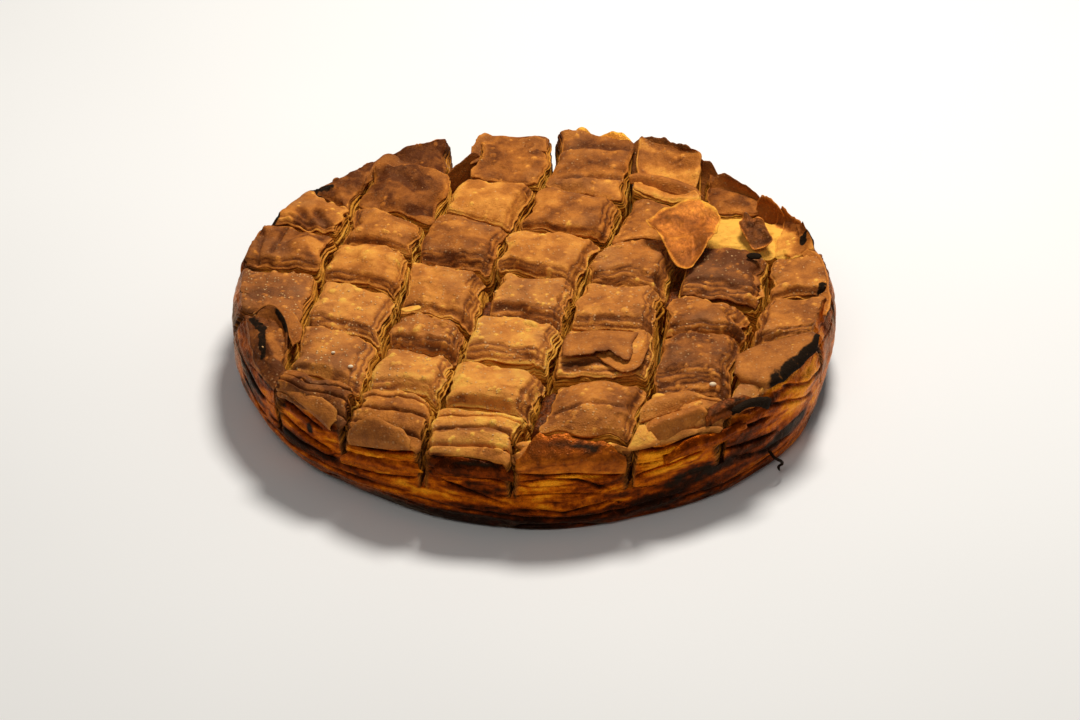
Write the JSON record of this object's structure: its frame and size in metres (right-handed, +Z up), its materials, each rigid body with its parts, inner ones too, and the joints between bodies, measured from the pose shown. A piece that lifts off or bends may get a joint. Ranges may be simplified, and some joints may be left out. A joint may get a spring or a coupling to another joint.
{
  "type": "banitsa pie",
  "caption": "Round flaky pastry pie, cut from above into uneven squares, with browned curled leaves and a dark filling in the cuts.",
  "frame": {"origin": "middle of the pie's box at its flat underside", "axes": "+Z up out of the cut top; -Y is the side that faces the viewer; the cuts run from front to back leaning to +X"},
  "size_m": [0.2786, 0.278, 0.0565],
  "materials": {
    "toasted_pastry": "dry toasted pastry, semi-matt",
    "golden_pastry": "pale golden pastry, semi-matt",
    "caramel_wall": "oily caramelised pastry, burnt in places",
    "filling": "moist dark filling"
  },
  "bodies": {
    "root": {"filling": "filling", "loose_leaf": "golden_pastry", "lower_pastry": "caramel_wall", "piece_a1": "toasted_pastry", "piece_a2": "toasted_pastry", "piece_a3": "toasted_pastry", "piece_a4": "toasted_pastry", "piece_a5": "toasted_pastry", "piece_b1": "toasted_pastry", "piece_b2": "toasted_pastry", "piece_b3": "toasted_pastry", "piece_b4": "golden_pastry", "piece_b5": "toasted_pastry", "piece_b6": "toasted_pastry", "piece_b7": "toasted_pastry", "piece_c1": "toasted_pastry", "piece_c2": "toasted_pastry", "piece_c3": "toasted_pastry", "piece_c4": "toasted_pastry", "piece_c5": "toasted_pastry", "piece_c6": "golden_pastry", "piece_c7": "toasted_pastry", "piece_d1": "toasted_pastry", "piece_d2": "toasted_pastry", "piece_d3": "toasted_pastry", "piece_d4": "toasted_pastry", "piece_d5": "toasted_pastry", "piece_d6": "toasted_pastry", "piece_d7": "toasted_pastry", "piece_e1": "toasted_pastry", "piece_e2": "toasted_pastry", "piece_e3": "toasted_pastry", "piece_e4": "toasted_pastry", "piece_e5": "toasted_pastry", "piece_e6": "toasted_pastry", "piece_e7": "golden_pastry", "piece_f1": "toasted_pastry", "piece_f2": "toasted_pastry", "piece_f3": "toasted_pastry", "piece_f4": "toasted_pastry", "piece_f5": "golden_pastry", "piece_f6": "toasted_pastry", "piece_g1": "toasted_pastry", "piece_g2": "toasted_pastry", "piece_g3": "toasted_pastry", "piece_g4": "toasted_pastry", "small_leaf": "golden_pastry"}
  },
  "joints": []
}
